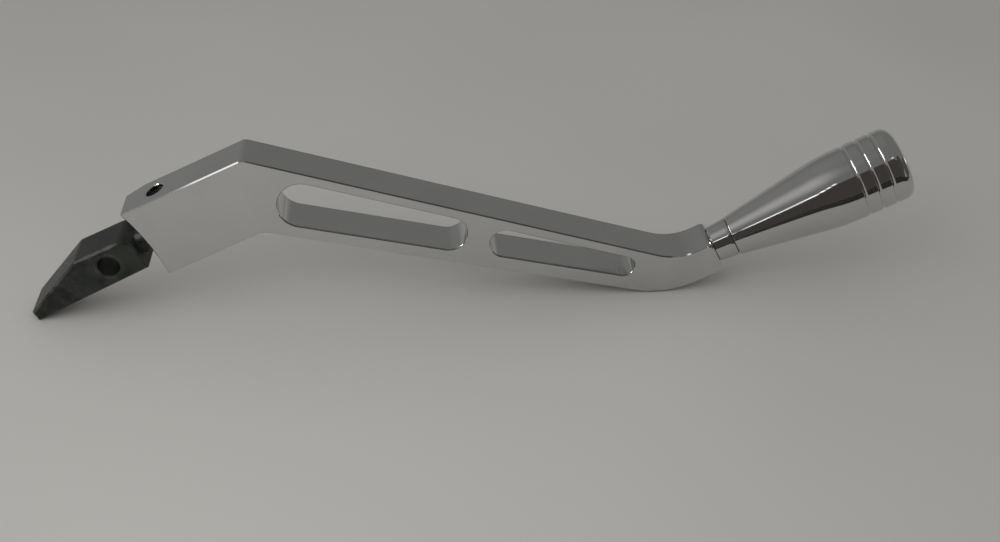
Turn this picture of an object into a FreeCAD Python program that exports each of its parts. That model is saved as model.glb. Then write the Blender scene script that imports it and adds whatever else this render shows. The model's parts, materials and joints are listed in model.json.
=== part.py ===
"""Foot peg on a long bent arm: a steel pivot knuckle, a slotted billet arm and a tapered peg that turns
on its own axle. Millimetres. The origin is the centre of the pivot bore, at mid thickness: +X runs out
along the arm, +Y is the pivot axis, and +Z is up."""
import FreeCAD, Part
import math
import os
from FreeCAD import Vector

# ---- driving dimensions ---------------------------------------------------------------------------

PLATE_THICKNESS = 19.0       # arm and knuckle are cut from the same plate thickness
RUNNING_CLEARANCE = 0.04     # radial, shafts that turn or slide in their bores
SEAT_CLEARANCE = 0.02        # radial, pieces that are pushed or screwed into a bore
FACE_CLEARANCE = 0.05        # between a turning face and the fixed face beside it

# the short leg of the arm, measured along (u) and across (v) a line through the pivot
LEG_ANGLE = 24.5
LEG_START = 18.5             # pivot axis to the top of the arm's inner end face
LEG_END_HOLLOW = 2.2         # the end face is a shallow hollow: this much further out at its deepest
LEG_END_HOLLOW_DROP = 3.0    # pivot line down to the deepest point
LEG_END_SLANT = 1.5          # the same face's bottom edge, further out than its top edge
LEG_TOP = 18.9               # pivot line up to the leg's top edge
LEG_BOTTOM = 14.8            # pivot line down to the leg's bottom edge
BEND_OUTER = 75.5            # along the leg to the outer corner of the bend
BEND_INNER = 65.6            # along the leg to the inner corner of the bend
BEND_OUTER_RADIUS = 4.0
BEND_INNER_RADIUS = 6.0
BACK_BEVEL_LENGTH = 10.0     # relief on the back of the arm's inner end, clear of the bracket
BACK_BEVEL_DEPTH = 3.5
EDGE_CHAMFER = 0.5           # flat 45 degree break along the arm's outline

# the long tapered beam and the neck that carries the peg
BEAM_TOP_ANGLE = -17.5
BEAM_BOTTOM_ANGLE = -13.6
NECK_TOP = 6.9               # peg axis up to the neck's top edge
NECK_BOTTOM = 8.4            # peg axis down to the neck's bottom edge
NECK_CORNER_RADIUS = 2.6     # the end face's top corner
NECK_TOP_RADIUS = 24.0
NECK_BOTTOM_RADIUS = 42.0

# lightening slots: first and last arc centre along the beam from its bend, and the rims left beside them
SLOTS = [
    {"start": 20.4, "end": 83.6, "rim_top": 4.6, "rim_bottom": 5.9},
    {"start": 108.6, "end": 163.4, "rim_top": 4.6, "rim_bottom": 6.9},
]
SLOT_EDGE_ROUND = 0.7

# pivot knuckle
KNUCKLE_NOSE = 14.2          # pivot axis to the flat nose that faces the arm
KNUCKLE_HALF_WIDTH = 8.2
KNUCKLE_NOSE_RADIUS = 5.5
KNUCKLE_HEEL = 12.0          # pivot axis back to where the tail starts to taper
KNUCKLE_HEEL_RADIUS = 4.0
TAIL_LENGTH = 42.3           # pivot axis to the tip of the tail
TAIL_DROP = 10.2             # pivot line down to the underside of the tail's tip
TAIL_TIP_HEIGHT = 4.8
KNUCKLE_EDGE_BREAK = 0.8
PIVOT_BORE_RADIUS = 4.8
PIVOT_BUSH_WALL = 1.1
SPIGOT_RADIUS = 5.0
SPIGOT_LENGTH = 33.0         # from the nose into the arm
SPIGOT_FLAT_DEPTH = 0.7
SPIGOT_FLAT_LENGTH = 12.0
SPIGOT_CHAMFER = 1.0
SPIGOT_END_GAP = 2.0         # past the spigot's end, to the bottom of its bore

# two stacked set screws in the arm's top edge lock the spigot
SET_SCREW_STATION = 33.2     # along the leg from the pivot axis
SET_SCREW_RADIUS = 4.0
SET_SCREW_LENGTH = 6.0
SET_SCREW_POINT_RADIUS = 2.6
SET_SCREW_SOCKET_FLATS = 4.0
SET_SCREW_SOCKET_DEPTH = 3.2
SET_SCREW_MOUTH_CHAMFER = 0.3

# peg axis and axle
PEG_BASE_X = 262.5
PEG_BASE_Z = -8.4
PEG_ANGLE = 26.8
AXLE_RADIUS = 5.0
AXLE_GRIP = 22.0             # length screwed into the arm
AXLE_TAIL_RADIUS = 4.0
AXLE_TAIL_PAST_NUT = 1.0
AXLE_CHAMFER = 0.8
INSERT_WALL = 0.9            # steel thread insert in the arm
INSERT_LENGTH = 18.0
AXLE_HOLE_END_GAP = 3.0

# collar between arm and peg
COLLAR_BASE_RADIUS = 8.2     # against the arm; the collar widens towards the peg
COLLAR_RADIUS = 8.9
COLLAR_LENGTH = 9.1
COLLAR_CHAMFER = 0.5
COLLAR_END_ROUND = 0.15
JOINT_GAP = 0.3              # collar's end face to the peg's base
REGISTER_RADIUS = 7.2        # nose that carries the dust seal
SEAL_SECTION_RADIUS = 0.5

# peg shell
PEG_LENGTH = 79.2
PEG_BASE_RADIUS = 9.2
PEG_CONE_LENGTH = 37.4
PEG_CONE_END_RADIUS = 15.1
PEG_BARREL_START = 54.4      # from the shell's base to where the barrel is parallel
PEG_RADIUS = 16.5
PEG_BASE_ROUND = 0.25
PEG_END_ROUND = 5.0
GROOVE_COUNT = 3
GROOVE_FIRST = 58.0          # from the shell's base to the first groove's middle
GROOVE_PITCH = 6.2
GROOVE_HALF_WIDTH = 0.9
GROOVE_DEPTH = 0.45
GROOVE_LIP = 0.15            # eased edge on each side of a groove

# bearings and retention inside the peg
BUSH_WALL = 1.5
BUSH_LENGTH = 12.0
BUSH_FLANGE_RADIUS = 7.0
BUSH_FLANGE_THICKNESS = 1.0
THRUST_WASHER_RADIUS = 7.0
THRUST_WASHER_THICKNESS = 1.0
COUNTERBORE_MARGIN = 0.4     # radial room around the washer in the peg's base
RELIEF_BORE_MARGIN = 0.6     # middle of the shell's bore is this much wider than the bush
DISC_SPRING_THICKNESS = 0.5
DISC_SPRING_RISE = 0.5
NUT_WASHER_THICKNESS = 1.0   # clamped against the axle's shoulder by the nut
NUT_FLATS = 13.0
NUT_BEVEL = 0.6
NUT_HEIGHT = 7.8
NUT_CROWN_HEIGHT = 2.2       # round part of the nut that holds its locking ring
LOCK_RING_WALL = 1.0
LOCK_RING_LIP = 0.4          # crown rolled over the ring's outer face
NUT_CROWN_STEP = 0.5         # crown's radius below the hexagon's half width
POCKET_MARGIN = 1.6          # radial room around the nut's corners for a socket
POCKET_STATION = 56.2        # from the shell's base to the outer bush's flange seat

# end cap
CAP_FLANGE_RADIUS = 10.6
CAP_FLANGE_THICKNESS = 2.2
CAP_PLUG_LENGTH = 5.0
CAP_PLUG_CHAMFER = 0.6
CAP_EDGE_CHAMFER = 0.4
CAP_SOCKET_FLATS = 6.0
CAP_SOCKET_DEPTH = 2.4
CAP_SEAL_SECTION_RADIUS = 0.75
CAP_SEAL_SQUEEZE = 0.1       # how far the seal's groove is shallower than the seal's section

# ---- values worked out from them ------------------------------------------------------------------

HALF_THICKNESS = PLATE_THICKNESS / 2
PEG_START = COLLAR_LENGTH + JOINT_GAP                         # shell's base, from the arm's face
WASHER_SEAT = PEG_START - 2 * FACE_CLEARANCE                  # register's end face, from the same
SEAL_STATION = PEG_START - FACE_CLEARANCE - SEAL_SECTION_RADIUS
SEAL_MEAN_RADIUS = REGISTER_RADIUS + SEAT_CLEARANCE + SEAL_SECTION_RADIUS
SEAL_GROOVE_RADIUS = SEAL_MEAN_RADIUS + SEAL_SECTION_RADIUS + SEAT_CLEARANCE
SEAL_GROOVE_FLOOR = SEAL_STATION - SEAL_SECTION_RADIUS - SEAT_CLEARANCE
INNER_FLANGE_START = WASHER_SEAT + THRUST_WASHER_THICKNESS + FACE_CLEARANCE
BUSH_RADIUS = AXLE_RADIUS + RUNNING_CLEARANCE + BUSH_WALL
OUTER_FLANGE_START = PEG_START + POCKET_STATION
OUTER_WASHER_START = OUTER_FLANGE_START + BUSH_FLANGE_THICKNESS + FACE_CLEARANCE
SPRING_START = OUTER_WASHER_START + THRUST_WASHER_THICKNESS
SHOULDER_END = SPRING_START + DISC_SPRING_THICKNESS + DISC_SPRING_RISE
NUT_START = SHOULDER_END + NUT_WASHER_THICKNESS
NUT_CORNER_RADIUS = NUT_FLATS / math.sqrt(3)
POCKET_RADIUS = NUT_CORNER_RADIUS + POCKET_MARGIN
PEG_END = PEG_START + PEG_LENGTH
SPIGOT_BORE_END = KNUCKLE_NOSE + SPIGOT_LENGTH + SPIGOT_END_GAP
SPIGOT_FLAT_HEIGHT = SPIGOT_RADIUS - SPIGOT_FLAT_DEPTH


# ---- helpers --------------------------------------------------------------------------------------

def direction(angle):
    """Unit vector in the XZ plane, angle in degrees above +X."""
    return Vector(math.cos(math.radians(angle)), 0, math.sin(math.radians(angle)))


def leg_point(along, across):
    """A point in the XZ plane from its place along and across the leg's line through the pivot."""
    return direction(LEG_ANGLE) * along + direction(LEG_ANGLE + 90) * across


def peg_point(along, across):
    """The same for the peg's axis, from the arm's outer end face."""
    base = Vector(PEG_BASE_X, 0, PEG_BASE_Z)
    return base + direction(PEG_ANGLE) * along + direction(PEG_ANGLE + 90) * across


def crossing(point_a, angle_a, point_b, angle_b):
    """Where two lines in the XZ plane meet."""
    a, b, gap = direction(angle_a), direction(angle_b), point_b - point_a
    return point_a + a * ((gap.x * b.z - gap.z * b.x) / (a.x * b.z - a.z * b.x))


def distance_to_line(point, on_line, angle):
    return abs((point - on_line).dot(direction(angle + 90)))


def rounded_outline(corners):
    """A closed wire through corners [(point, radius), ...]; each corner is rounded by a tangent arc."""
    stops = []
    for i, (corner, radius) in enumerate(corners):
        back = (corners[i - 1][0] - corner).normalize()
        ahead = (corners[(i + 1) % len(corners)][0] - corner).normalize()
        half = back.getAngle(ahead) / 2
        if radius <= 0:
            stops.append((corner, None, corner))
            continue
        reach = radius / math.tan(half)
        middle = corner + (back + ahead).normalize() * (radius / math.sin(half) - radius)
        stops.append((corner + back * reach, middle, corner + ahead * reach))
    edges = []
    for i, (start, middle, end) in enumerate(stops):
        if middle is not None:
            edges.append(Part.Arc(start, middle, end).toShape())
        following = stops[(i + 1) % len(stops)][0]
        if end.distanceToPoint(following) > 1e-6:
            edges.append(Part.LineSegment(end, following).toShape())
    return Part.Wire(edges)


def plate(wire):
    """A wire in the XZ plane, extruded to the plate's thickness about mid thickness."""
    face = Part.Face(wire)
    solid = face.extrude(Vector(0, PLATE_THICKNESS, 0))
    solid.translate(Vector(0, -HALF_THICKNESS, 0))
    return solid


def turned(profile):
    """A solid turned about the X axis from (along, radius) points; a third value rounds that corner."""
    corners = [(Vector(p[0], 0, p[1]), p[2] if len(p) > 2 else 0) for p in profile]
    return Part.Face(rounded_outline(corners)).revolve(Vector(0, 0, 0), Vector(1, 0, 0), 360)


def rod(radius, start, end):
    """A cylinder about the X axis."""
    return Part.makeCylinder(radius, end - start, Vector(start, 0, 0), Vector(1, 0, 0))


def tube(outer, inner, start, end):
    return rod(outer, start, end).cut(rod(inner, start - 1, end + 1))


def hexagon_bar(flats, start, end):
    """A hexagonal bar about the X axis, by its width across flats."""
    corner = flats / math.sqrt(3)
    points = [
        Vector(start, corner * math.cos(math.radians(60 * i)), corner * math.sin(math.radians(60 * i)))
        for i in range(7)
    ]
    return Part.Face(Part.makePolygon(points)).extrude(Vector(end - start, 0, 0))


def ring(mean_radius, section_radius, at):
    """An O-ring about the X axis."""
    return Part.makeTorus(mean_radius, section_radius, Vector(at, 0, 0), Vector(1, 0, 0))


def on_leg(solid):
    """From a frame with X along the leg and Z across it to the part's frame."""
    solid.rotate(Vector(0, 0, 0), Vector(0, 1, 0), -LEG_ANGLE)
    return solid


def on_peg(solid):
    """From a frame with X along the peg's axis to the part's frame."""
    solid.rotate(Vector(0, 0, 0), Vector(0, 1, 0), -PEG_ANGLE)
    solid.translate(Vector(PEG_BASE_X, 0, PEG_BASE_Z))
    return solid


def across_leg(solid):
    """From a frame with X along a set screw, outwards, to the part's frame."""
    solid.rotate(Vector(0, 0, 0), Vector(0, 1, 0), -90)
    solid.translate(Vector(SET_SCREW_STATION, 0, 0))
    return on_leg(solid)


def face_edges(solid, side):
    """The edges of a plate's front (-1) or back (1) face."""
    level = side * HALF_THICKNESS
    return [e for e in solid.Edges if all(abs(v.Y - level) < 1e-6 for v in e.Vertexes)]


# ---- arm ------------------------------------------------------------------------------------------

def beam_lines():
    """A point on the beam's top edge and one on its bottom edge: the bend's two corners."""
    return leg_point(BEND_OUTER, LEG_TOP), leg_point(BEND_INNER, -LEG_BOTTOM)


def arm_outline():
    top, bottom = beam_lines()
    neck_top = crossing(top, BEAM_TOP_ANGLE, peg_point(0, NECK_TOP), PEG_ANGLE)
    neck_bottom = crossing(bottom, BEAM_BOTTOM_ANGLE, peg_point(0, -NECK_BOTTOM), PEG_ANGLE)
    return rounded_outline([
        (leg_point(LEG_START, LEG_TOP), 0),
        (top, BEND_OUTER_RADIUS),
        (neck_top, NECK_TOP_RADIUS),
        (peg_point(0, NECK_TOP), NECK_CORNER_RADIUS),
        (peg_point(0, -NECK_BOTTOM), 0),
        (neck_bottom, NECK_BOTTOM_RADIUS),
        (bottom, BEND_INNER_RADIUS),
        (leg_point(LEG_START + LEG_END_SLANT, -LEG_BOTTOM), 0),
    ])


def leg_end_hollow():
    """The wide shallow cylinder that hollows the inner end face."""
    circle = Part.Circle(
        leg_point(LEG_START, LEG_TOP),
        leg_point(LEG_START + LEG_END_HOLLOW, -LEG_END_HOLLOW_DROP),
        leg_point(LEG_START + LEG_END_SLANT, -LEG_BOTTOM),
    )
    start = circle.Center - Vector(0, PLATE_THICKNESS, 0)
    return Part.makeCylinder(circle.Radius, 2 * PLATE_THICKNESS, start, Vector(0, 1, 0))


def slot_ends(slot):
    """The two end circles of a slot, [(centre, radius), ...], touching both rims."""
    top, bottom = beam_lines()
    rim_top = top - direction(BEAM_TOP_ANGLE + 90) * slot["rim_top"]
    rim_bottom = bottom + direction(BEAM_BOTTOM_ANGLE + 90) * slot["rim_bottom"]
    apex = crossing(rim_top, BEAM_TOP_ANGLE, rim_bottom, BEAM_BOTTOM_ANGLE)
    middle_angle = (BEAM_TOP_ANGLE + BEAM_BOTTOM_ANGLE) / 2
    bend = (top + bottom) * 0.5
    to_apex = (apex - bend).dot(direction(middle_angle))
    ends = []
    for station in (slot["start"], slot["end"]):
        centre = apex - direction(middle_angle) * (to_apex - station)
        ends.append((centre, distance_to_line(centre, rim_top, BEAM_TOP_ANGLE)))
    return ends


def slot_wire(slot):
    (left, left_radius), (right, right_radius) = slot_ends(slot)
    up, down = direction(BEAM_TOP_ANGLE + 90), direction(BEAM_BOTTOM_ANGLE - 90)
    outwards = direction((BEAM_TOP_ANGLE + BEAM_BOTTOM_ANGLE) / 2)
    left_top, left_bottom = left + up * left_radius, left + down * left_radius
    right_top, right_bottom = right + up * right_radius, right + down * right_radius
    return Part.Wire([
        Part.LineSegment(left_top, right_top).toShape(),
        Part.Arc(right_top, right + outwards * right_radius, right_bottom).toShape(),
        Part.LineSegment(right_bottom, left_bottom).toShape(),
        Part.Arc(left_bottom, left - outwards * left_radius, left_top).toShape(),
    ])


def make_arm():
    arm = plate(arm_outline()).cut(leg_end_hollow())
    edges = face_edges(arm, -1) + face_edges(arm, 1)
    arm = arm.makeChamfer(EDGE_CHAMFER, edges)
    for slot in SLOTS:
        window = plate(slot_wire(slot))
        arm = arm.cut(window)
        rims = [
            e for e in arm.Edges
            if abs(abs(e.CenterOfMass.y) - HALF_THICKNESS) < 1e-6
            and window.distToShape(e)[0] < 1e-6
        ]
        arm = arm.makeFillet(SLOT_EDGE_ROUND, rims)
    arm = arm.cut(on_leg(back_bevel()))
    arm = arm.cut(on_leg(rod(SPIGOT_RADIUS + SEAT_CLEARANCE, KNUCKLE_NOSE, SPIGOT_BORE_END)))
    arm = arm.cut(across_leg(rod(SET_SCREW_RADIUS + SEAT_CLEARANCE, 0, LEG_TOP + 1)))
    arm = arm.cut(across_leg(turned([
        (LEG_TOP - SET_SCREW_MOUTH_CHAMFER, 0),
        (LEG_TOP - SET_SCREW_MOUTH_CHAMFER, SET_SCREW_RADIUS),
        (LEG_TOP + 1, SET_SCREW_RADIUS + SET_SCREW_MOUTH_CHAMFER + 1),
        (LEG_TOP + 1, 0),
    ])))
    insert_radius = AXLE_RADIUS + INSERT_WALL + 2 * SEAT_CLEARANCE
    arm = arm.cut(on_peg(rod(insert_radius, -INSERT_LENGTH - SEAT_CLEARANCE, 1)))
    return arm.cut(on_peg(rod(AXLE_RADIUS + SEAT_CLEARANCE, -AXLE_GRIP - AXLE_HOLE_END_GAP, 0)))


def back_bevel():
    """The wedge cut from the back of the arm's inner end, in the leg's frame."""
    reach = LEG_TOP + LEG_BOTTOM
    points = [
        Vector(LEG_START - 1, HALF_THICKNESS - BACK_BEVEL_DEPTH * (1 + 1 / BACK_BEVEL_LENGTH), -reach),
        Vector(LEG_START + BACK_BEVEL_LENGTH, HALF_THICKNESS, -reach),
        Vector(LEG_START + BACK_BEVEL_LENGTH, HALF_THICKNESS + 1, -reach),
        Vector(LEG_START - 1, HALF_THICKNESS + 1, -reach),
    ]
    return Part.Face(Part.makePolygon(points + points[:1])).extrude(Vector(0, 0, 2 * reach))


# ---- knuckle --------------------------------------------------------------------------------------

def make_knuckle():
    corners = [
        ((KNUCKLE_NOSE, -KNUCKLE_HALF_WIDTH), 0),
        ((KNUCKLE_NOSE, KNUCKLE_HALF_WIDTH), KNUCKLE_NOSE_RADIUS),
        ((-KNUCKLE_HEEL, KNUCKLE_HALF_WIDTH), KNUCKLE_HEEL_RADIUS),
        ((-TAIL_LENGTH, TAIL_TIP_HEIGHT - TAIL_DROP), 0),
        ((-TAIL_LENGTH, -TAIL_DROP), 0),
    ]
    body = plate(rounded_outline([(leg_point(*place), radius) for place, radius in corners]))
    body = body.makeChamfer(KNUCKLE_EDGE_BREAK, face_edges(body, -1) + face_edges(body, 1))
    end = KNUCKLE_NOSE + SPIGOT_LENGTH
    spigot = turned([
        (0, 0),
        (0, SPIGOT_RADIUS),
        (end - SPIGOT_CHAMFER, SPIGOT_RADIUS),
        (end, SPIGOT_RADIUS - SPIGOT_CHAMFER),
        (end, 0),
    ])
    flat = Part.makeBox(
        SPIGOT_FLAT_LENGTH, 2 * SPIGOT_RADIUS, SPIGOT_RADIUS,
        Vector(SET_SCREW_STATION - SPIGOT_FLAT_LENGTH / 2, -SPIGOT_RADIUS, SPIGOT_FLAT_HEIGHT),
    )
    body = body.fuse(on_leg(spigot.cut(flat)))
    seat = PIVOT_BORE_RADIUS + PIVOT_BUSH_WALL + SEAT_CLEARANCE
    hole = Part.makeCylinder(
        seat, PLATE_THICKNESS + 2, Vector(0, -HALF_THICKNESS - 1, 0), Vector(0, 1, 0)
    )
    return body.cut(hole).removeSplitter()


def make_pivot_bush():
    outer = PIVOT_BORE_RADIUS + PIVOT_BUSH_WALL
    bush = tube(outer, PIVOT_BORE_RADIUS, -HALF_THICKNESS, HALF_THICKNESS)
    bush.rotate(Vector(0, 0, 0), Vector(0, 0, 1), 90)
    return bush


def make_set_screw(foot, pointed):
    """A socket set screw standing on foot, its distance from the leg's line."""
    top = foot + SET_SCREW_LENGTH
    cone = SET_SCREW_RADIUS - SET_SCREW_POINT_RADIUS
    foot_radius = SET_SCREW_POINT_RADIUS if pointed else SET_SCREW_RADIUS - SET_SCREW_MOUTH_CHAMFER
    foot_height = cone if pointed else SET_SCREW_MOUTH_CHAMFER
    screw = turned([
        (foot, 0),
        (foot, foot_radius),
        (foot + foot_height, SET_SCREW_RADIUS),
        (top - SET_SCREW_MOUTH_CHAMFER, SET_SCREW_RADIUS),
        (top, SET_SCREW_RADIUS - SET_SCREW_MOUTH_CHAMFER),
        (top, 0),
    ])
    socket = hexagon_bar(SET_SCREW_SOCKET_FLATS, top - SET_SCREW_SOCKET_DEPTH, top + 1)
    return across_leg(screw.cut(socket))


# ---- peg: pieces fixed to the arm -----------------------------------------------------------------

def make_thread_insert():
    inner = AXLE_RADIUS + SEAT_CLEARANCE
    return on_peg(tube(inner + INSERT_WALL, inner, -INSERT_LENGTH, 0))


def make_axle():
    end = NUT_START + NUT_HEIGHT + AXLE_TAIL_PAST_NUT
    return on_peg(turned([
        (-AXLE_GRIP, 0),
        (-AXLE_GRIP, AXLE_RADIUS - AXLE_CHAMFER),
        (-AXLE_GRIP + AXLE_CHAMFER, AXLE_RADIUS),
        (SHOULDER_END, AXLE_RADIUS),
        (SHOULDER_END, AXLE_TAIL_RADIUS),
        (end - AXLE_CHAMFER, AXLE_TAIL_RADIUS),
        (end, AXLE_TAIL_RADIUS - AXLE_CHAMFER),
        (end, 0),
    ]))


def make_collar():
    return on_peg(turned([
        (0, AXLE_RADIUS + SEAT_CLEARANCE),
        (0, COLLAR_BASE_RADIUS - COLLAR_CHAMFER),
        (COLLAR_CHAMFER, COLLAR_BASE_RADIUS),
        (COLLAR_LENGTH, COLLAR_RADIUS, COLLAR_END_ROUND),
        (COLLAR_LENGTH, SEAL_GROOVE_RADIUS),
        (SEAL_GROOVE_FLOOR, SEAL_GROOVE_RADIUS),
        (SEAL_GROOVE_FLOOR, REGISTER_RADIUS),
        (WASHER_SEAT, REGISTER_RADIUS),
        (WASHER_SEAT, AXLE_RADIUS + SEAT_CLEARANCE),
    ]))


def make_dust_seal():
    return on_peg(ring(SEAL_MEAN_RADIUS, SEAL_SECTION_RADIUS, SEAL_STATION))


def make_thrust_washer(start):
    inner = AXLE_RADIUS + SEAT_CLEARANCE
    return on_peg(tube(THRUST_WASHER_RADIUS, inner, start, start + THRUST_WASHER_THICKNESS))


def make_disc_spring():
    """A dished spring washer between the outer thrust washer and the nut."""
    inner, outer = AXLE_RADIUS + SEAT_CLEARANCE, THRUST_WASHER_RADIUS
    return on_peg(turned([
        (SPRING_START, outer),
        (SPRING_START + DISC_SPRING_RISE, inner),
        (SPRING_START + DISC_SPRING_RISE + DISC_SPRING_THICKNESS, inner),
        (SPRING_START + DISC_SPRING_THICKNESS, outer),
    ]))


def make_nut_washer():
    """The plate that the nut clamps on the axle's shoulder, behind the disc spring."""
    return on_peg(tube(THRUST_WASHER_RADIUS, AXLE_TAIL_RADIUS + SEAT_CLEARANCE, SHOULDER_END, NUT_START))


def nut_ring_place():
    """Start, end, inner and outer radius of the nut's locking ring."""
    end = NUT_START + NUT_HEIGHT - LOCK_RING_LIP
    inner = AXLE_TAIL_RADIUS + SEAT_CLEARANCE
    return end - NUT_CROWN_HEIGHT, end, inner, inner + LOCK_RING_WALL


def make_lock_nut():
    top = NUT_START + NUT_HEIGHT
    hex_top = top - NUT_CROWN_HEIGHT
    bevel = turned([
        (NUT_START, 0),
        (NUT_START, NUT_FLATS / 2),
        (NUT_START + NUT_BEVEL, NUT_CORNER_RADIUS),
        (hex_top - NUT_BEVEL, NUT_CORNER_RADIUS),
        (hex_top, NUT_FLATS / 2),
        (hex_top, 0),
    ])
    crown = rod(NUT_FLATS / 2 - NUT_CROWN_STEP, hex_top, top)
    nut = hexagon_bar(NUT_FLATS, NUT_START, hex_top).common(bevel).fuse(crown).removeSplitter()
    nut = nut.cut(rod(AXLE_TAIL_RADIUS + SEAT_CLEARANCE, NUT_START - 1, top + 1))
    start, end, _, outer = nut_ring_place()
    return on_peg(nut.cut(rod(outer + SEAT_CLEARANCE, start - SEAT_CLEARANCE, end)))


def make_lock_ring():
    start, end, inner, outer = nut_ring_place()
    return on_peg(tube(outer, inner, start, end))


# ---- peg: pieces that turn ------------------------------------------------------------------------

def groove_cutter(middle):
    """A round-bottomed ring cut, with its edges eased."""
    lip_start, lip_end = middle - GROOVE_HALF_WIDTH, middle + GROOVE_HALF_WIDTH
    floor_start = Vector(lip_start + GROOVE_LIP, 0, PEG_RADIUS - GROOVE_LIP)
    floor_end = Vector(lip_end - GROOVE_LIP, 0, PEG_RADIUS - GROOVE_LIP)
    outside = PEG_RADIUS + GROOVE_LIP
    wire = Part.makePolygon([
        floor_end,
        Vector(lip_end + GROOVE_LIP, 0, outside),
        Vector(lip_start - GROOVE_LIP, 0, outside),
        floor_start,
    ])
    floor = Part.Arc(floor_start, Vector(middle, 0, PEG_RADIUS - GROOVE_DEPTH), floor_end).toShape()
    face = Part.Face(Part.Wire(wire.Edges + [floor]))
    return face.revolve(Vector(0, 0, 0), Vector(1, 0, 0), 360)


def shell_profile():
    """Outside of the shell and the solid core, along the peg's axis: cone, swell and barrel."""
    cone_end = PEG_START + PEG_CONE_LENGTH
    cone_angle = math.atan2(PEG_CONE_END_RADIUS - PEG_BASE_RADIUS, PEG_CONE_LENGTH)
    barrel = PEG_START + PEG_BARREL_START
    swell = Part.BezierCurve()
    pull = (barrel - cone_end) / 2.6
    swell.setPoles([
        Vector(cone_end, 0, PEG_CONE_END_RADIUS),
        Vector(cone_end + pull, 0, PEG_CONE_END_RADIUS + pull * math.tan(cone_angle)),
        Vector(barrel - pull, 0, PEG_RADIUS),
        Vector(barrel, 0, PEG_RADIUS),
    ])
    base_round = PEG_BASE_ROUND
    half_turn = math.radians(45)
    base_start = Vector(PEG_START, 0, PEG_BASE_RADIUS - base_round)
    base_middle = Vector(
        PEG_START + base_round * (1 - math.cos(half_turn)), 0,
        PEG_BASE_RADIUS - base_round * (1 - math.sin(half_turn)),
    )
    base_end = Vector(PEG_START + base_round, 0, PEG_BASE_RADIUS)
    end_start = Vector(PEG_END - PEG_END_ROUND, 0, PEG_RADIUS)
    end_middle = Vector(
        PEG_END - PEG_END_ROUND * (1 - math.sin(half_turn)), 0,
        PEG_RADIUS - PEG_END_ROUND * (1 - math.cos(half_turn)),
    )
    end_end = Vector(PEG_END, 0, PEG_RADIUS - PEG_END_ROUND)
    return Part.Wire([
        Part.LineSegment(Vector(PEG_START, 0, 0), base_start).toShape(),
        Part.Arc(base_start, base_middle, base_end).toShape(),
        Part.LineSegment(base_end, Vector(cone_end, 0, PEG_CONE_END_RADIUS)).toShape(),
        swell.toShape(),
        Part.LineSegment(Vector(barrel, 0, PEG_RADIUS), end_start).toShape(),
        Part.Arc(end_start, end_middle, end_end).toShape(),
        Part.LineSegment(end_end, Vector(PEG_END, 0, 0)).toShape(),
        Part.LineSegment(Vector(PEG_END, 0, 0), Vector(PEG_START, 0, 0)).toShape(),
    ])


def make_peg_shell():
    shell = Part.Face(shell_profile()).revolve(Vector(0, 0, 0), Vector(1, 0, 0), 360)
    for number in range(GROOVE_COUNT):
        shell = shell.cut(groove_cutter(PEG_START + GROOVE_FIRST + number * GROOVE_PITCH))
    bush_seat = BUSH_RADIUS + SEAT_CLEARANCE
    relief = BUSH_RADIUS + RELIEF_BORE_MARGIN
    inner_seat_end = INNER_FLANGE_START + BUSH_LENGTH
    outer_seat_start = OUTER_FLANGE_START + BUSH_FLANGE_THICKNESS - BUSH_LENGTH
    counterbore = BUSH_FLANGE_RADIUS + COUNTERBORE_MARGIN
    cap_seat = PEG_END - CAP_FLANGE_THICKNESS
    hollow = turned([
        (PEG_START - 1, 0),
        (PEG_START - 1, counterbore),
        (INNER_FLANGE_START + BUSH_FLANGE_THICKNESS, counterbore),
        (INNER_FLANGE_START + BUSH_FLANGE_THICKNESS, bush_seat),
        (inner_seat_end, bush_seat),
        (inner_seat_end, relief),
        (outer_seat_start, relief),
        (outer_seat_start, bush_seat),
        (OUTER_FLANGE_START, bush_seat),
        (OUTER_FLANGE_START, POCKET_RADIUS),
        (cap_seat, POCKET_RADIUS),
        (cap_seat, CAP_FLANGE_RADIUS + SEAT_CLEARANCE),
        (PEG_END + 1, CAP_FLANGE_RADIUS + SEAT_CLEARANCE),
        (PEG_END + 1, 0),
    ])
    return on_peg(shell.cut(hollow))


def make_inner_bush():
    bore = AXLE_RADIUS + RUNNING_CLEARANCE
    start = INNER_FLANGE_START
    return on_peg(turned([
        (start, bore),
        (start, BUSH_FLANGE_RADIUS),
        (start + BUSH_FLANGE_THICKNESS, BUSH_FLANGE_RADIUS),
        (start + BUSH_FLANGE_THICKNESS, BUSH_RADIUS),
        (start + BUSH_LENGTH, BUSH_RADIUS),
        (start + BUSH_LENGTH, bore),
    ]))


def make_outer_bush():
    bore = AXLE_RADIUS + RUNNING_CLEARANCE
    end = OUTER_FLANGE_START + BUSH_FLANGE_THICKNESS
    return on_peg(turned([
        (end, bore),
        (end, BUSH_FLANGE_RADIUS),
        (OUTER_FLANGE_START, BUSH_FLANGE_RADIUS),
        (OUTER_FLANGE_START, BUSH_RADIUS),
        (end - BUSH_LENGTH, BUSH_RADIUS),
        (end - BUSH_LENGTH, bore),
    ]))


def cap_seal_place():
    """Mean radius of the cap's seal and its station along the peg's axis."""
    plug_radius = POCKET_RADIUS - SEAT_CLEARANCE
    station = PEG_END - CAP_FLANGE_THICKNESS - CAP_PLUG_LENGTH / 2
    return plug_radius - CAP_SEAL_SECTION_RADIUS, station


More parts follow.
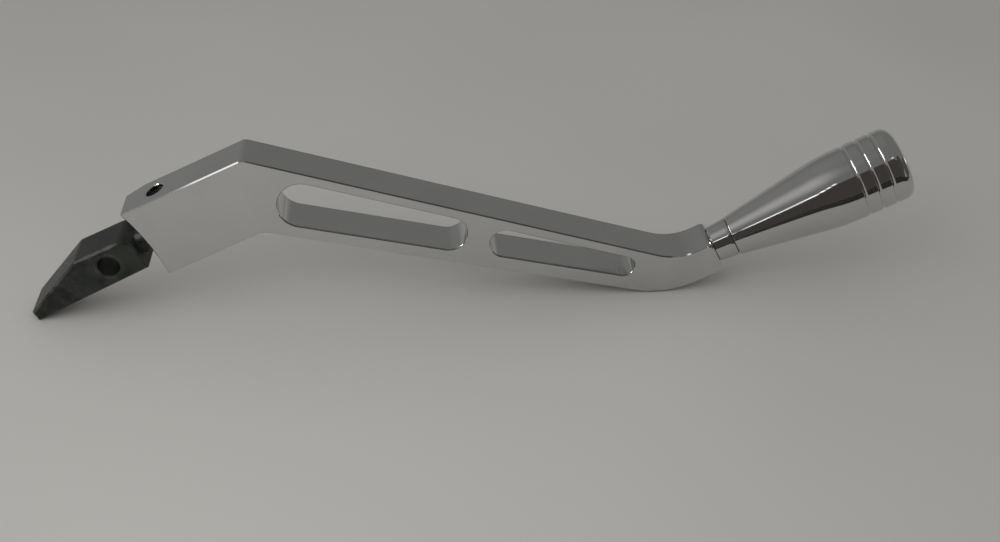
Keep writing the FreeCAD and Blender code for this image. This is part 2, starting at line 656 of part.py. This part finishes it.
def make_end_cap():
    seat = PEG_END - CAP_FLANGE_THICKNESS
    plug_radius = POCKET_RADIUS - SEAT_CLEARANCE
    plug_end = seat - CAP_PLUG_LENGTH
    cap = turned([
        (plug_end, 0),
        (plug_end, plug_radius - CAP_PLUG_CHAMFER),
        (plug_end + CAP_PLUG_CHAMFER, plug_radius),
        (seat, plug_radius),
        (seat, CAP_FLANGE_RADIUS),
        (PEG_END - CAP_EDGE_CHAMFER, CAP_FLANGE_RADIUS),
        (PEG_END, CAP_FLANGE_RADIUS - CAP_EDGE_CHAMFER),
        (PEG_END, 0),
    ])
    socket = hexagon_bar(CAP_SOCKET_FLATS, PEG_END - CAP_SOCKET_DEPTH, PEG_END + 1)
    cap = cap.cut(socket)
    mean, station = cap_seal_place()
    half = CAP_SEAL_SECTION_RADIUS + CAP_SEAL_SQUEEZE
    floor_radius = mean - CAP_SEAL_SECTION_RADIUS - SEAT_CLEARANCE
    return on_peg(cap.cut(tube(plug_radius + 1, floor_radius, station - half, station + half)))


def make_cap_seal():
    mean, station = cap_seal_place()
    return on_peg(ring(mean, CAP_SEAL_SECTION_RADIUS, station))


# ---- build ----------------------------------------------------------------------------------------

def build():
    point_foot = SPIGOT_FLAT_HEIGHT + SEAT_CLEARANCE
    lock_foot = point_foot + SET_SCREW_LENGTH + SEAT_CLEARANCE
    return {
        "arm": make_arm(),
        "knuckle": make_knuckle(),
        "pivot_bush": make_pivot_bush(),
        "knuckle_point_screw": make_set_screw(point_foot, True),
        "knuckle_lock_screw": make_set_screw(lock_foot, False),
        "thread_insert": make_thread_insert(),
        "axle": make_axle(),
        "collar": make_collar(),
        "dust_seal": make_dust_seal(),
        "inner_thrust_washer": make_thrust_washer(WASHER_SEAT),
        "outer_thrust_washer": make_thrust_washer(OUTER_WASHER_START),
        "disc_spring": make_disc_spring(),
        "nut_washer": make_nut_washer(),
        "lock_nut": make_lock_nut(),
        "nut_lock_ring": make_lock_ring(),
        "peg_shell": make_peg_shell(),
        "inner_bush": make_inner_bush(),
        "outer_bush": make_outer_bush(),
        "end_cap": make_end_cap(),
        "cap_seal": make_cap_seal(),
    }


os.makedirs("parts", exist_ok=True)
for name, shape in build().items():
    if not shape.isValid() or not shape.Solids or shape.Volume <= 0:
        raise RuntimeError(f"{name} is not a valid solid")
    shape.exportStep(f"parts/{name}.step")
    print(f"{name}: {len(shape.Solids)} solid, {shape.Volume:.1f} mm3")
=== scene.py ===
import bpy, bmesh, json, math
from mathutils import Matrix, Vector


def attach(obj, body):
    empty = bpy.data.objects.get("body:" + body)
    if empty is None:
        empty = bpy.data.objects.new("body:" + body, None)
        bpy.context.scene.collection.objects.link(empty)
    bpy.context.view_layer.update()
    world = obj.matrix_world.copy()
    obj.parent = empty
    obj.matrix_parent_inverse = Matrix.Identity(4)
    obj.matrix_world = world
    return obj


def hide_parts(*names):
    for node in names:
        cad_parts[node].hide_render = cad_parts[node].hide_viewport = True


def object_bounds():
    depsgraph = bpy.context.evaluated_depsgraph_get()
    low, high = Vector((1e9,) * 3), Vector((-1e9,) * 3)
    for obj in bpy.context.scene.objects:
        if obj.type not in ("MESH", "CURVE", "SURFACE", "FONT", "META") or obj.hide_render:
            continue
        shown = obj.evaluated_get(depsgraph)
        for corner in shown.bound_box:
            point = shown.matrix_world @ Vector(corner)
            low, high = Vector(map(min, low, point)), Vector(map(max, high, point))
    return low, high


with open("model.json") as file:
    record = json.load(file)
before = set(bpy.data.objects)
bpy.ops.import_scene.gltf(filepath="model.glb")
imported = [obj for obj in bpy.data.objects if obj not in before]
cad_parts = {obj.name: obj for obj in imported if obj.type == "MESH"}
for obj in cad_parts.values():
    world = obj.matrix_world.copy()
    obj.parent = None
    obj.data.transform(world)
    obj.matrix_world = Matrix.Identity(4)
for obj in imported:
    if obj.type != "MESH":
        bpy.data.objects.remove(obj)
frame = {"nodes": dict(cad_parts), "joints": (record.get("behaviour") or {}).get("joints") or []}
CAD_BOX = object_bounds()
NODES = frame["nodes"]
SPIN = frame["joints"][0]
PEG_BASE = Vector(SPIN["pos_m"])
PEG_AXIS = Vector(SPIN["axis"]).normalized()
FLOOR_Z = CAD_BOX[0].z
MM = 0.001
UP = Vector((0, 0, 1))
ACROSS_PLATE = Vector((0, 1, 0))

# ---- camera ---------------------------------------------------------------------------------------

CAMERA_PLACE = Vector((0.12754, -0.43964, 0.28752))
CAMERA_FORWARD = Vector((0.0731, 0.8191, -0.5689)).normalized()
CAMERA_UP = Vector((0.0443, 0.5672, 0.8224))
LENS_MM = 43.2
SENSOR_MM = 36.0


def look(place, forward, up):
    """A camera or light frame that looks along forward, with up in its vertical plane."""
    right = forward.cross(up).normalized()
    true_up = right.cross(forward)
    turn = Matrix((right, true_up, -forward)).transposed()
    return Matrix.Translation(place) @ turn.to_4x4()


def add_camera():
    data = bpy.data.cameras.new("camera")
    data.lens = LENS_MM
    data.sensor_width = SENSOR_MM
    data.clip_start = 0.01
    camera = bpy.data.objects.new("camera", data)
    camera.matrix_world = look(CAMERA_PLACE, CAMERA_FORWARD, CAMERA_UP)
    bpy.context.scene.collection.objects.link(camera)
    bpy.context.scene.camera = camera


# ---- shader helpers -------------------------------------------------------------------------------

class Shader:
    """A node tree with short calls for the nodes used here."""

    def __init__(self, tree):
        self.tree = tree
        tree.nodes.clear()

    def add(self, kind, values=(), **settings):
        node = self.tree.nodes.new(kind)
        for key, value in settings.items():
            setattr(node, key, value)
        for key, value in dict(values).items():
            self.put(node.inputs[key], value)
        return node

    def put(self, socket, value):
        if isinstance(value, bpy.types.NodeSocket):
            self.tree.links.new(value, socket)
        else:
            socket.default_value = value

    def math(self, operation, *values):
        node = self.add("ShaderNodeMath", operation=operation)
        for socket, value in zip(node.inputs, values):
            self.put(socket, value)
        return node.outputs[0]

    def ramp(self, value, low, high, out_low=0.0, out_high=1.0):
        """value between low and high, smoothly, as out_low to out_high."""
        node = self.add("ShaderNodeMapRange", interpolation_type="SMOOTHSTEP")
        for socket, number in zip(node.inputs, (value, low, high, out_low, out_high)):
            self.put(socket, number)
        return node.outputs[0]

    def mix(self, amount, first, second):
        node = self.add("ShaderNodeMix", data_type="RGBA")
        self.put(node.inputs[0], amount)
        self.put(node.inputs[6], first)
        self.put(node.inputs[7], second)
        return node.outputs[2]

    def noise(self, vector, scale, detail=3.0, rough=0.5):
        node = self.add("ShaderNodeTexNoise", {"Scale": scale, "Detail": detail, "Roughness": rough})
        self.put(node.inputs["Vector"], vector)
        return node.outputs["Fac"]

    def stretched(self, turn, scale):
        """Object coordinates seen from a turned frame and scaled along its axes."""
        place = self.add("ShaderNodeTexCoord").outputs["Object"]
        rotated = self.add("ShaderNodeVectorRotate", rotation_type="EULER_XYZ", invert=True)
        self.put(rotated.inputs["Vector"], place)
        self.put(rotated.inputs["Rotation"], turn)
        mapped = self.add("ShaderNodeVectorMath", operation="MULTIPLY")
        self.put(mapped.inputs[0], rotated.outputs[0])
        self.put(mapped.inputs[1], scale)
        return mapped.outputs[0]

    def bump(self, height, strength, distance, normal=None):
        node = self.add("ShaderNodeBump", {"Strength": strength, "Distance": distance})
        self.put(node.inputs["Height"], height)
        if normal is not None:
            self.put(node.inputs["Normal"], normal)
        return node.outputs[0]

    def dot(self, first, second):
        node = self.add("ShaderNodeVectorMath", operation="DOT_PRODUCT")
        self.put(node.inputs[0], first)
        self.put(node.inputs[1], second)
        return node.outputs["Value"]

    def principled(self, values):
        shader = self.add("ShaderNodeBsdfPrincipled", values)
        out = self.add("ShaderNodeOutputMaterial")
        self.tree.links.new(shader.outputs[0], out.inputs[0])
        return shader


def new_material(name):
    material = bpy.data.materials.new(name)
    material.use_nodes = True
    return material, Shader(material.node_tree)


def rgb(r, g, b):
    return (r, g, b, 1.0)


PEG_TURN = (0.0, -math.asin(PEG_AXIS.z), 0.0)
LEG_TURN = (0.0, math.radians(-24.5), 0.0)
NO_TURN = (0.0, 0.0, 0.0)
CHROME_TINT = 0.62
SPECK = rgb(0.25, 0.24, 0.23)


def chrome(name, turn, lines, rough, waviness):
    """Mirror plate: faint polishing lines, long soft waves, haze patches and a few specks."""
    material, s = new_material(name)
    place = s.stretched(turn, (1.0, 1.0, 1.0))
    haze = s.noise(place, 45.0, 4.0, 0.6)
    smear = s.noise(s.stretched(turn, (60.0, 240.0, 240.0)), 1.0, 3.0)
    patchy = s.math("MULTIPLY", haze, smear)
    roughness = s.ramp(patchy, 0.12, 0.42, rough * 0.75, rough * 1.5)
    bright = rgb(CHROME_TINT, CHROME_TINT, CHROME_TINT * 0.992)
    dull = rgb(CHROME_TINT * 0.95, CHROME_TINT * 0.95, CHROME_TINT * 0.945)
    tone = s.mix(s.ramp(haze, 0.3, 0.7), bright, dull)
    speck = s.ramp(s.noise(place, 900.0, 1.0), 0.74, 0.80)
    colour = s.mix(s.math("MULTIPLY", speck, 0.25), tone, SPECK)
    wave = s.noise(place, 26.0, 1.0)
    polish = s.noise(s.stretched(turn, lines), 1.0, 2.0)
    normal = s.bump(wave, waviness, 0.0006)
    normal = s.bump(polish, 0.05, 0.00004, normal)
    s.principled({"Base Color": colour, "Metallic": 1.0, "Roughness": roughness, "Normal": normal})
    return material


def black_oxide():
    """Satin black oxide on milled steel, mottled; its edges are lightened both as rubbed wear and as
    painted highlight.
    """
    material, s = new_material("black_oxide_steel")
    place = s.stretched(NO_TURN, (1.0, 1.0, 1.0))
    mottle = s.noise(place, 160.0, 5.0, 0.65)
    broad = s.noise(place, 50.0, 2.0)
    dark = s.mix(s.ramp(mottle, 0.35, 0.7), rgb(0.016, 0.017, 0.016), rgb(0.060, 0.062, 0.058))
    green = s.mix(s.ramp(broad, 0.45, 0.7), dark, rgb(0.046, 0.054, 0.044))
    # Edges go towards pale grey: partly rubbed wear, partly a painted highlight that stands in for light
    # caught along the edges.
    soft = s.add("ShaderNodeBevel", {"Radius": 0.0006}, samples=6)
    facing = s.dot(soft.outputs[0], s.add("ShaderNodeNewGeometry").outputs["Normal"])
    edge = s.ramp(facing, 0.995, 0.90)
    rubbed_edge_and_highlight = s.math("MULTIPLY", edge, s.ramp(mottle, 0.42, 0.62))
    colour = s.mix(s.math("MULTIPLY", rubbed_edge_and_highlight, 0.6), green, rgb(0.22, 0.22, 0.21))
    mill = s.noise(s.stretched(LEG_TURN, (140.0, 900.0, 2600.0)), 1.0, 2.0)
    height = s.math("ADD", s.math("MULTIPLY", mill, 0.6), mottle)
    normal = s.bump(height, 0.35, 0.00008)
    roughness = s.ramp(mottle, 0.3, 0.7, 0.36, 0.52)
    s.principled({
        "Base Color": colour, "Metallic": 0.55, "Roughness": roughness, "Normal": normal,
        "Specular IOR Level": 0.5,
    })
    return material


def turned_metal(name, low, high, rough):
    """Turned or ground metal: fine rings round the peg's axis, colour variation and stains."""
    material, s = new_material(name)
    rings = s.noise(s.stretched(PEG_TURN, (4200.0, 60.0, 60.0)), 1.0, 2.0)
    stain = s.noise(s.stretched(PEG_TURN, (1.0, 1.0, 1.0)), 220.0, 4.0, 0.6)
    colour = s.mix(s.ramp(stain, 0.3, 0.7), rgb(*low), rgb(*high))
    roughness = s.ramp(stain, 0.3, 0.7, rough * 0.8, rough * 1.25)
    normal = s.bump(rings, 0.25, 0.00004)
    s.principled({"Base Color": colour, "Metallic": 1.0, "Roughness": roughness, "Normal": normal})
    return material


def moulded(name, low, high, rough):
    """Rubber or nylon: fine grain and slight bloom."""
    material, s = new_material(name)
    place = s.stretched(NO_TURN, (1.0, 1.0, 1.0))
    grain = s.noise(place, 2600.0, 3.0)
    bloom = s.noise(place, 300.0, 3.0)
    colour = s.mix(s.ramp(bloom, 0.35, 0.7), rgb(*low), rgb(*high))
    roughness = s.ramp(grain, 0.3, 0.7, rough * 0.9, rough * 1.1)
    normal = s.bump(grain, 0.3, 0.00005)
    s.principled({"Base Color": colour, "Roughness": roughness, "Normal": normal})
    return material


# ---- peg shell and collar, turned afresh so that their mirror surfaces are smooth ------------------

COLLAR_BORE = 5.02 * MM
COLLAR_BASE_RADIUS = 8.2 * MM
COLLAR_FAR_RADIUS = 8.9 * MM
COLLAR_CHAMFER = 0.5 * MM
COLLAR_END_ROUND = 0.15 * MM
COLLAR_NOSE_RADIUS = 7.2 * MM
COLLAR_LENGTH = 9.1 * MM
SEAL_GROOVE_RADIUS = 8.24 * MM
SEAL_GROOVE_FLOOR = 8.33 * MM
NOSE_CLEARANCE = 0.1 * MM
PEG_START = 9.4 * MM
PEG_END = PEG_START + 79.2 * MM
BASE_RADIUS = 9.2 * MM
BASE_ROUND = 0.25 * MM
CONE_LENGTH = 37.4 * MM
CONE_END_RADIUS = 15.1 * MM
BARREL_START = 54.4 * MM
SWELL_STEPS = 16
SWELL_PULL = 1 / 2.6
BARREL_RADIUS = 16.5 * MM
END_ROUND = 5.0 * MM
GROOVE_FIRST = 58.0 * MM
GROOVE_PITCH = 6.2 * MM
GROOVE_COUNT = 3
GROOVE_HALF = 0.9 * MM
GROOVE_DEPTH = 0.45 * MM
GROOVE_LIP = 0.15 * MM
CAP_SEAT_RADIUS = 10.62 * MM
CAP_SEAT_DEPTH = 2.2 * MM
POCKET_RADIUS = 9.1 * MM
POCKET_START = 56.2 * MM
BORE_RADIUS = 6.56 * MM
COUNTERBORE_RADIUS = 7.4 * MM
COUNTERBORE_DEPTH = 1.95 * MM
CONE_STEPS = 12
GROOVE_STEPS = 12
COLLAR_STEPS = 6
TURN_STEPS = 224
SHARP_ANGLE = math.radians(38)


def arc(centre, radius, start, end, steps):
    """Profile points on an arc, angles in degrees from the peg's axis."""
    points = []
    for i in range(steps + 1):
        angle = math.radians(start + (end - start) * i / steps)
        points.append((centre[0] + radius * math.cos(angle), centre[1] + radius * math.sin(angle)))
    return points


def groove(middle):
    """A round-bottomed groove between two eased lips."""
    half = GROOVE_HALF - GROOVE_LIP
    sag = GROOVE_DEPTH - GROOVE_LIP
    radius = (half * half + sag * sag) / (2 * sag)
    spread = math.degrees(math.asin(half / radius))
    centre = (middle, BARREL_RADIUS - GROOVE_LIP + radius - sag)
    floor = arc(centre, radius, -90 - spread, -90 + spread, GROOVE_STEPS)
    return [(middle - GROOVE_HALF, BARREL_RADIUS)] + floor + [(middle + GROOVE_HALF, BARREL_RADIUS)]


def swell():
    """The smooth run from the cone to the parallel barrel, as a cubic with matching ends."""
    start, end = PEG_START + CONE_LENGTH, PEG_START + BARREL_START
    run = end - start
    slope = (CONE_END_RADIUS - BASE_RADIUS) / CONE_LENGTH
    pull = run * SWELL_PULL
    poles = [
        (start, CONE_END_RADIUS), (start + pull, CONE_END_RADIUS + pull * slope),
        (end - pull, BARREL_RADIUS), (end, BARREL_RADIUS),
    ]
    points = []
    for i in range(1, SWELL_STEPS):
        t = i / SWELL_STEPS
        weights = ((1 - t) ** 3, 3 * t * (1 - t) ** 2, 3 * t * t * (1 - t), t ** 3)
        points.append(tuple(sum(w * p[k] for w, p in zip(weights, poles)) for k in (0, 1)))
    return points


def shell_profile():
    """The shell's outline as (along the axis, radius), from its counterbore out and back in."""
    rim = BARREL_RADIUS - END_ROUND
    points = [(PEG_START, COUNTERBORE_RADIUS)]
    points += arc((PEG_START + BASE_ROUND, BASE_RADIUS - BASE_ROUND), BASE_ROUND, 180, 90, 6)
    for i in range(1, CONE_STEPS + 1):
        part = i / CONE_STEPS
        radius = BASE_RADIUS + (CONE_END_RADIUS - BASE_RADIUS) * part
        points.append((PEG_START + CONE_LENGTH * part, radius))
    points += swell()
    points += [(PEG_START + BARREL_START, BARREL_RADIUS)]
    for number in range(GROOVE_COUNT):
        points += groove(PEG_START + GROOVE_FIRST + number * GROOVE_PITCH)
    points += arc((PEG_END - END_ROUND, rim), END_ROUND, 90, 0, 14)
    points += [
        (PEG_END, CAP_SEAT_RADIUS),
        (PEG_END - CAP_SEAT_DEPTH, CAP_SEAT_RADIUS),
        (PEG_END - CAP_SEAT_DEPTH, POCKET_RADIUS),
        (PEG_START + POCKET_START, POCKET_RADIUS),
        (PEG_START + POCKET_START, BORE_RADIUS),
        (PEG_START + COUNTERBORE_DEPTH, BORE_RADIUS),
        (PEG_START + COUNTERBORE_DEPTH, COUNTERBORE_RADIUS),
    ]
    return points


def collar_profile():
    """The collar's outline: a slight taper, the dust seal's groove and the nose inside it."""
    taper = COLLAR_LENGTH - 1.5 * COLLAR_CHAMFER
    end_centre = (COLLAR_LENGTH - COLLAR_END_ROUND, COLLAR_FAR_RADIUS - COLLAR_END_ROUND)
    nose_end = PEG_START - NOSE_CLEARANCE
    points = [
        (0.0, COLLAR_BORE),
        (0.0, COLLAR_BASE_RADIUS - COLLAR_CHAMFER),
        (COLLAR_CHAMFER, COLLAR_BASE_RADIUS),
    ]
    for i in range(1, COLLAR_STEPS):
        part = i / COLLAR_STEPS
        radius = COLLAR_BASE_RADIUS + (COLLAR_FAR_RADIUS - COLLAR_BASE_RADIUS) * part
        points.append((COLLAR_CHAMFER + taper * part, radius))
    points += arc(end_centre, COLLAR_END_ROUND, 84, 0, 5)
    points += [
        (COLLAR_LENGTH, SEAL_GROOVE_RADIUS),
        (SEAL_GROOVE_FLOOR, SEAL_GROOVE_RADIUS),
        (SEAL_GROOVE_FLOOR, COLLAR_NOSE_RADIUS),
        (nose_end, COLLAR_NOSE_RADIUS),
        (nose_end, COLLAR_BORE),
    ]
    return points


def turned_piece(name, profile):
    """A closed ring of profile points, turned about the peg's axis."""
    across = PEG_AXIS.cross(ACROSS_PLATE).normalized()
    other = PEG_AXIS.cross(across)
    mesh = bmesh.new()
    rings = []
    for i in range(TURN_STEPS):
        angle = 2 * math.pi * i / TURN_STEPS
        out = across * math.cos(angle) + other * math.sin(angle)
        places = [PEG_BASE + PEG_AXIS * along + out * radius for along, radius in profile]
        rings.append([mesh.verts.new(place) for place in places])
    count = len(profile)
    for i, ring in enumerate(rings):
        following = rings[(i + 1) % TURN_STEPS]
        for k in range(count):
            j = (k + 1) % count
            mesh.faces.new((ring[k], ring[j], following[j], following[k]))
    bmesh.ops.recalc_face_normals(mesh, faces=mesh.faces)
    data = bpy.data.meshes.new(name)
    mesh.to_mesh(data)
    mesh.free()
    data.shade_smooth()
    data.set_sharp_from_angle(angle=SHARP_ANGLE)
    piece = bpy.data.objects.new(name, data)
    bpy.context.scene.collection.objects.link(piece)
    return piece


# ---- studio ---------------------------------------------------------------------------------------

FLOOR_REACH = 4.0
DARK_SHEET_REACH = 3.0
DARK_SHEET_LIFT = 1.0 * MM
TABLE_EDGE_Y = -0.165


def flat_sheet(name, low, high, z, material):
    """A level rectangle between two corners, as part of the stage."""
    data = bpy.data.meshes.new(name)
    corners = [(low[0], low[1], z), (high[0], low[1], z), (high[0], high[1], z), (low[0], high[1], z)]
    data.from_pydata(corners, [], [(0, 1, 2, 3)])
    data.materials.append(material)
    sheet = bpy.data.objects.new(name, data)
    bpy.context.scene.collection.objects.link(sheet)
    return sheet


def add_floor():
    material, s = new_material("floor_paper")
    place = s.stretched(NO_TURN, (1.0, 1.0, 1.0))
    broad = s.noise(place, 3.0, 2.0)
    tooth = s.noise(place, 900.0, 3.0)
    colour = s.mix(s.ramp(broad, 0.3, 0.7), rgb(0.60, 0.59, 0.57), rgb(0.64, 0.63, 0.60))
    s.principled({
        "Base Color": colour, "Roughness": 0.6, "Specular IOR Level": 0.0,
        "Normal": s.bump(tooth, 0.1, 0.0001),
    })
    flat_sheet("floor", (-FLOOR_REACH, -FLOOR_REACH), (FLOOR_REACH, FLOOR_REACH), FLOOR_Z, material)


def add_dark_front():
    """A dark sheet in front, seen only in the polished metal, where the table ends."""
    material, s = new_material("dark_card")
    s.principled({"Base Color": rgb(0.03, 0.028, 0.027), "Roughness": 0.9})
    low, high = (-DARK_SHEET_REACH, -DARK_SHEET_REACH), (DARK_SHEET_REACH, TABLE_EDGE_Y)
    sheet = flat_sheet("dark_front", low, high, FLOOR_Z + DARK_SHEET_LIFT, material)
    sheet.visible_camera = False
    sheet.visible_diffuse = False
    sheet.visible_shadow = False


# name, place, what it points at, width and height, watts, and whether polished metal mirrors it
LIGHTS = (
    ("key", (-0.38, -0.24, 0.45), (0.06, -0.05, 0.0), (0.7, 0.7), 0.9, False),
    ("front", (0.08, -0.24, 0.28), (0.08, -0.06, 0.0), (0.25, 0.2), 0.17, False),
    ("window", (-0.344, -0.2386, 0.436), (0.047, -0.01, 0.042), (0.07, 0.07), 0.016, True),
)


def add_light(name, place, target, size, watts, mirrored):
    data = bpy.data.lights.new(name, "AREA")
    data.shape = "RECTANGLE"
    data.size, data.size_y = size
    data.energy = watts
    light = bpy.data.objects.new(name, data)
    place = Vector(place)
    light.matrix_world = look(place, (Vector(target) - place).normalized(), UP)
    light.visible_camera = False
    light.visible_glossy = mirrored
    bpy.context.scene.collection.objects.link(light)


def sky_direction(azimuth, elevation):
    """Unit vector; azimuth from +Y towards +X, both in degrees."""
    a, e = math.radians(azimuth), math.radians(elevation)
    return Vector((math.sin(a) * math.cos(e), math.cos(a) * math.cos(e), math.sin(e)))


# what the polished metal faces: azimuth, elevation and radius in degrees, fall-off, colour
ROOM_PATCHES = (
    (-50, 36, 42, 1.0, (0.245, 0.245, 0.24)),     # pale wall on the left
    (-101, 46, 28, 2.0, (0.50, 0.49, 0.48)),      # soft light on the ceiling
    (180, 3, 47, 0.0, (0.062, 0.055, 0.052)),     # dark doorway in front
    (138, 36, 22, 0.0, (0.07, 0.066, 0.063)),     # dark corner above it
    (98, 10, 22, 0.0, (0.085, 0.082, 0.078)),     # dark cupboard on the right
    (-142.5, 26.5, 2.2, 1.2, (2.6, 2.5, 2.5)),    # lamp tube, in five lengths
    (-143.5, 30, 2.2, 1.2, (2.8, 2.7, 2.7)),
    (-145, 34, 2.2, 1.2, (2.8, 2.7, 2.7)),
    (-147, 38, 2.2, 1.2, (2.4, 2.4, 2.4)),
    (-149, 42, 2.2, 1.2, (2.2, 2.2, 2.2)),
    (-80, 31, 9.0, 1.0, (8.0, 8.0, 8.0)),         # low window, in four panes
    (-92, 30, 10.0, 1.0, (11.0, 11.0, 11.0)),
    (-104, 28, 10.0, 1.0, (11.0, 11.0, 11.0)),
    (-116, 24, 7.0, 1.0, (7.0, 7.0, 7.0)),
    (-165, 52, 2.8, 0.5, (1.5, 1.5, 1.5)),        # ceiling lamp
    (62, 0.5, 3.2, 1.0, (6.0, 6.0, 6.0)),         # lamp on the right
)
CRISP_EDGE = 0.94    # a crisp patch is full out to this share of its radius
WALL_ABOVE = rgb(0.195, 0.195, 0.188)
WALL_BELOW = rgb(0.34, 0.34, 0.33)
EVEN_LIGHT = rgb(0.41, 0.41, 0.407)


def add_world():
    """Even light for the scene; polished metal sees a grey room with the patches above."""
    world = bpy.data.worlds.new("studio")
    bpy.context.scene.world = world
    world.use_nodes = True
    s = Shader(world.node_tree)
    ray = s.add("ShaderNodeTexCoord").outputs["Generated"]

    def towards(direction, radius, softness):
        """1 at a direction, 0 beyond radius degrees; softness 0 gives a crisp edge, more a wide slope."""
        low = math.cos(math.radians(radius))
        high = 1.0 if softness else math.cos(math.radians(radius * CRISP_EDGE))
        slope = s.add("ShaderNodeMapRange", interpolation_type="LINEAR")
        for socket, number in zip(slope.inputs, (s.dot(ray, direction), low, high, 0.0, 1.0)):
            s.put(socket, number)
        return s.math("POWER", slope.outputs[0], softness or 1.0)

    height = s.add("ShaderNodeSeparateXYZ", {"Vector": ray}).outputs["Z"]
    horizon = s.ramp(height, 0.30, -0.05)
    room = s.mix(horizon, WALL_ABOVE, WALL_BELOW)
    for azimuth, elevation, radius, softness, colour in ROOM_PATCHES:
        amount = towards(sky_direction(azimuth, elevation), radius, softness)
        room = s.mix(amount, room, rgb(*colour))
    glossy = s.add("ShaderNodeBackground", {"Color": room, "Strength": 1.0})
    even = s.add("ShaderNodeBackground", {"Color": EVEN_LIGHT, "Strength": 1.0})
    kind = s.add("ShaderNodeLightPath").outputs["Is Glossy Ray"]
    both = s.add("ShaderNodeMixShader")
    s.put(both.inputs[0], kind)
    s.put(both.inputs[1], even.outputs[0])
    s.put(both.inputs[2], glossy.outputs[0])
    out = s.add("ShaderNodeOutputWorld")
    s.tree.links.new(both.outputs[0], out.inputs[0])


# ---- put it together ------------------------------------------------------------------------------

def turned(name, profile, material, node, body):
    """A turned piece that stands in for a CAD node and rides on its body."""
    piece = turned_piece(name, profile)
    piece.data.materials.append(material)
    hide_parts(node)
    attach(piece, body)


def main():
    add_camera()
    add_floor()
    add_dark_front()
    add_world()
    for light in LIGHTS:
        add_light(*light)

    arm_chrome = chrome("arm_mirror", NO_TURN, (300.0, 9000.0, 300.0), rough=0.07, waviness=0.25)
    peg_chrome = chrome("peg_mirror", PEG_TURN, (5200.0, 40.0, 40.0), rough=0.05, waviness=0.06)
    oxide = black_oxide()
    steel = turned_metal("ground_steel", (0.42, 0.41, 0.40), (0.55, 0.54, 0.52), 0.3)
    bronze = turned_metal("sintered_bronze", (0.42, 0.27, 0.11), (0.58, 0.39, 0.17), 0.42)
    rubber = moulded("seal_rubber", (0.012, 0.012, 0.012), (0.028, 0.028, 0.027), 0.6)
    nylon = moulded("ring_nylon", (0.05, 0.11, 0.30), (0.08, 0.15, 0.36), 0.4)

    finish = {
        "arm": arm_chrome, "knuckle": oxide, "knuckle_point_screw": oxide, "knuckle_lock_screw": oxide,
        "pivot_bush": oxide, "end_cap": peg_chrome, "dust_seal": rubber, "cap_seal": rubber,
        "nut_lock_ring": nylon,
    }
    for name in ("thread_insert", "axle", "disc_spring", "nut_washer", "lock_nut"):
        finish[name] = steel
    for name in ("inner_thrust_washer", "outer_thrust_washer", "inner_bush", "outer_bush"):
        finish[name] = bronze
    for name, material in finish.items():
        for holder in NODES[name].material_slots:
            holder.material = material

    turned("peg_shell_turned", shell_profile(), peg_chrome, "peg_shell", "peg")
    turned("collar_turned", collar_profile(), peg_chrome, "collar", "frame")

    bpy.context.scene.view_settings.view_transform = "Standard"


main()
